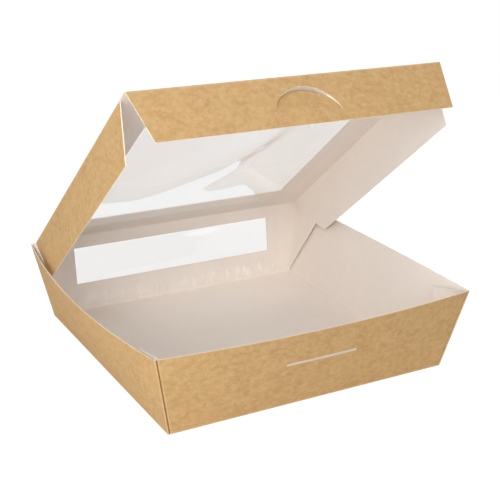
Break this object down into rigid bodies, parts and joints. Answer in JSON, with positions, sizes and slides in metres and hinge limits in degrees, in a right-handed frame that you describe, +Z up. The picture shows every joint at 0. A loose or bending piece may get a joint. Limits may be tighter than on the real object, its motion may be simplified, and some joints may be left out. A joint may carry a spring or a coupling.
{
  "type": "takeaway box",
  "caption": "Folded board takeaway box: flared tray with web corners, hinged lid with a clear film window, tuck flaps and a thumb tongue.",
  "frame": {"origin": "middle of the underside of the base, on the surface that the box stands on", "axes": "+X to the right along the front wall, -Y towards the front wall with the slot, +Y towards the hinge, +Z up"},
  "size_m": [0.212, 0.1957, 0.1777],
  "materials": {
    "kraft_board": "uncoated brown kraft face outside, smooth white lining inside, cream cut edges",
    "window_film": "clear glossy film, slightly rippled"
  },
  "bodies": {
    "tray": {"tray": "kraft_board", "rear_window_film": "window_film"},
    "lid": {"lid": "kraft_board", "lid_window_film": "window_film"},
    "left_side_flap": {"left_side_flap": "kraft_board"},
    "right_side_flap": {"right_side_flap": "kraft_board"},
    "front_flap": {"front_flap": "kraft_board"}
  },
  "joints": [
    {"name": "lid_fold", "type": "hinge", "parent": "tray", "child": "lid", "pos_m": [0, 0.09475, 0.0501], "axis": [-1, 0, 0], "range_deg": [-40, 140]},
    {"name": "left_flap_fold", "type": "hinge", "parent": "lid", "child": "left_side_flap", "pos_m": [-0.09725, 0.09475, 0.0501], "axis": [0, 0.766, -0.6428], "range_deg": [-20, 70]},
    {"name": "right_flap_fold", "type": "hinge", "parent": "lid", "child": "right_side_flap", "pos_m": [0.09725, 0.09475, 0.0501], "axis": [0, -0.766, 0.6428], "range_deg": [-20, 70]},
    {"name": "front_flap_fold", "type": "hinge", "parent": "lid", "child": "front_flap", "pos_m": [0, -0.05699, 0.17742], "axis": [-1, 0, 0], "range_deg": [0, 90]}
  ],
  "couplings": [
    {"joint": "left_flap_fold", "follows": "lid_fold", "ratio": 0.5},
    {"joint": "right_flap_fold", "follows": "lid_fold", "ratio": 0.5}
  ]
}
